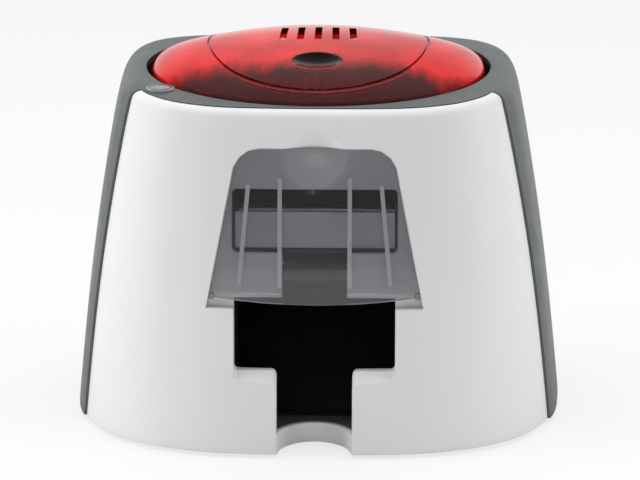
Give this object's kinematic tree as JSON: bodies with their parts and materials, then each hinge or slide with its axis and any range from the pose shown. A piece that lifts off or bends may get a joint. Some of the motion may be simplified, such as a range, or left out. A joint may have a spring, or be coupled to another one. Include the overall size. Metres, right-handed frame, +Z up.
{
  "type": "id card printer",
  "caption": "Desktop card printer with a hinged domed lid over the ribbon bay, a tilting smoked feeder cover, roller card path, output bin and thumb notch.",
  "frame": {"origin": "on the table under the middle of the body", "axes": "+X to the right seen from the front, +Y to the rear, +Z up"},
  "size_m": [0.2716, 0.1951, 0.2132],
  "materials": {
    "white_shell": "satin white moulded shell",
    "grey_housing": "fine grained cool mid grey",
    "red_lid": "glossy deep red",
    "smoked_cover": "clear smoked grey plastic",
    "bin_black": "fine grained black",
    "black_liner": "fine grained black",
    "dark_plastic": "fine grained dark grey",
    "hopper_plastic": "dark grey moulding",
    "pusher_plastic": "light grey moulding",
    "button_grey": "smooth light grey",
    "ring_light": "pale translucent ring",
    "rubber": "matt black rubber",
    "steel": "ground steel",
    "screw_steel": "blackened steel",
    "frame_metal": "zinc plated sheet",
    "motor_metal": "black lacquered can",
    "brass": "sintered brass",
    "gear_plastic": "natural white acetal",
    "spool_plastic": "light grey moulding",
    "ribbon_film": "dark glossy film",
    "head_ceramic": "glazed ceramic",
    "cooler_aluminium": "plain extruded aluminium",
    "circuit_board": "green lacquered board",
    "board_parts": "black chips and cans",
    "socket_black": "black moulding",
    "socket_metal": "tinned steel shell"
  },
  "bodies": {
    "base": {"front_shell": "white_shell", "side_housing": "grey_housing", "rear_cover": "grey_housing", "base_tray": "dark_plastic", "rubber_feet": "rubber", "base_screws": "screw_steel", "main_board": "circuit_board", "board_components": "board_parts", "power_jack": "socket_black", "usb_socket": "socket_metal", "well_liner": "black_liner", "lid_hinge_pin": "steel", "lid_switch": "socket_black", "card_hopper": "hopper_plastic", "card_guide": "dark_plastic", "output_bin": "bin_black", "left_frame_plate": "frame_metal", "right_frame_plate": "frame_metal", "tie_bars": "steel", "roller_bushes": "brass", "motor_bracket": "frame_metal", "drive_motor": "motor_metal", "ribbon_motor_bracket": "frame_metal", "ribbon_motor": "motor_metal", "ribbon_guide_bars": "steel", "ribbon_web": "ribbon_film", "button_board": "circuit_board", "status_ring": "ring_light"},
    "lid": {"lid": "red_lid", "lid_tongue": "dark_plastic", "head_carrier": "dark_plastic", "print_head": "head_ceramic", "head_cooler": "cooler_aluminium"},
    "feeder_cover": {"feeder_cover": "smoked_cover"},
    "power_button": {"power_button": "button_grey"},
    "pressure_plate": {"pressure_plate": "pusher_plastic"},
    "feed_drive": {"feed_roller": "rubber", "feed_shaft": "steel", "feed_gear": "gear_plastic"},
    "entry_drive": {"entry_roller": "rubber", "entry_shaft": "steel", "entry_gear": "gear_plastic"},
    "platen_drive": {"platen_roller": "rubber", "platen_shaft": "steel", "platen_gear": "gear_plastic"},
    "exit_drive": {"exit_roller": "rubber", "exit_shaft": "steel", "exit_gear": "gear_plastic"},
    "feed_idler": {"feed_idler_gear": "gear_plastic"},
    "entry_idler": {"entry_idler_gear": "gear_plastic"},
    "exit_idler": {"exit_idler_gear": "gear_plastic"},
    "motor_rotor": {"motor_pinion": "brass"},
    "entry_pinch": {"entry_pinch_roller": "steel"},
    "exit_pinch": {"exit_pinch_roller": "steel"},
    "takeup_spool": {"takeup_core": "spool_plastic", "takeup_film": "ribbon_film", "takeup_gear": "gear_plastic"},
    "supply_spool": {"supply_core": "spool_plastic", "supply_film": "ribbon_film"},
    "ribbon_rotor": {"ribbon_pinion": "brass"}
  },
  "joints": [
    {"name": "lid_hinge", "type": "hinge", "parent": "base", "child": "lid", "pos_m": [0, 0.06, 0.1932], "axis": [-1, 0, 0], "range_deg": [0, 88]},
    {"name": "feeder_cover_hinge", "type": "hinge", "parent": "base", "child": "feeder_cover", "pos_m": [0, -0.08229, 0.0882], "axis": [1, 0, 0], "range_deg": [0, 45]},
    {"name": "power_button_slide", "type": "slide", "parent": "base", "child": "power_button", "axis": [0, 0, -1], "range_m": [0, 0.0012], "stiffness_N_per_m": 900, "springref_m": -0.0004},
    {"name": "pressure_plate_slide", "type": "slide", "parent": "base", "child": "pressure_plate", "axis": [0, 0, 1], "range_m": [0, 0.012], "stiffness_N_per_m": 60, "springref_m": -0.004},
    {"name": "feed_spin", "type": "hinge", "parent": "base", "child": "feed_drive", "pos_m": [0, -0.06, 0.1016], "axis": [1, 0, 0], "continuous": true},
    {"name": "entry_spin", "type": "hinge", "parent": "base", "child": "entry_drive", "pos_m": [0, -0.015, 0.106], "axis": [1, 0, 0], "continuous": true},
    {"name": "platen_spin", "type": "hinge", "parent": "base", "child": "platen_drive", "pos_m": [0, 0.01, 0.104], "axis": [1, 0, 0], "continuous": true},
    {"name": "exit_spin", "type": "hinge", "parent": "base", "child": "exit_drive", "pos_m": [0, 0.033, 0.106], "axis": [1, 0, 0], "continuous": true},
    {"name": "feed_idler_spin", "type": "hinge", "parent": "base", "child": "feed_idler", "pos_m": [0, -0.03604, 0.09446], "axis": [1, 0, 0], "continuous": true},
    {"name": "entry_idler_spin", "type": "hinge", "parent": "base", "child": "entry_idler", "pos_m": [0, -0.00329, 0.09509], "axis": [1, 0, 0], "continuous": true},
    {"name": "exit_idler_spin", "type": "hinge", "parent": "base", "child": "exit_idler", "pos_m": [0, 0.02246, 0.09396], "axis": [1, 0, 0], "continuous": true},
    {"name": "motor_spin", "type": "hinge", "parent": "base", "child": "motor_rotor", "pos_m": [0, -0.03604, 0.07246], "axis": [1, 0, 0], "continuous": true},
    {"name": "entry_pinch_spin", "type": "hinge", "parent": "base", "child": "entry_pinch", "pos_m": [0, -0.015, 0.1173], "axis": [1, 0, 0], "continuous": true},
    {"name": "exit_pinch_spin", "type": "hinge", "parent": "base", "child": "exit_pinch", "pos_m": [0, 0.033, 0.1173], "axis": [1, 0, 0], "continuous": true},
    {"name": "takeup_spin", "type": "hinge", "parent": "base", "child": "takeup_spool", "pos_m": [0, -0.05, 0.168], "axis": [1, 0, 0], "continuous": true},
    {"name": "supply_spin", "type": "hinge", "parent": "base", "child": "supply_spool", "pos_m": [0, 0.05, 0.152], "axis": [1, 0, 0], "continuous": true},
    {"name": "ribbon_motor_spin", "type": "hinge", "parent": "base", "child": "ribbon_rotor", "pos_m": [0, -0.0405, 0.15155], "axis": [1, 0, 0], "continuous": true}
  ],
  "couplings": [
    {"joint": "entry_idler_spin", "follows": "platen_spin", "ratio": -1},
    {"joint": "entry_spin", "follows": "platen_spin", "ratio": 1},
    {"joint": "feed_idler_spin", "follows": "platen_spin", "ratio": -0.5},
    {"joint": "feed_spin", "follows": "platen_spin", "ratio": 0.88889},
    {"joint": "motor_spin", "follows": "platen_spin", "ratio": 1.3333},
    {"joint": "exit_idler_spin", "follows": "platen_spin", "ratio": -1},
    {"joint": "exit_spin", "follows": "platen_spin", "ratio": 1},
    {"joint": "entry_pinch_spin", "follows": "platen_spin", "ratio": -1.75},
    {"joint": "exit_pinch_spin", "follows": "platen_spin", "ratio": -1.75},
    {"joint": "takeup_spin", "follows": "supply_spin", "ratio": 1.5},
    {"joint": "ribbon_motor_spin", "follows": "supply_spin", "ratio": -3.25}
  ]
}
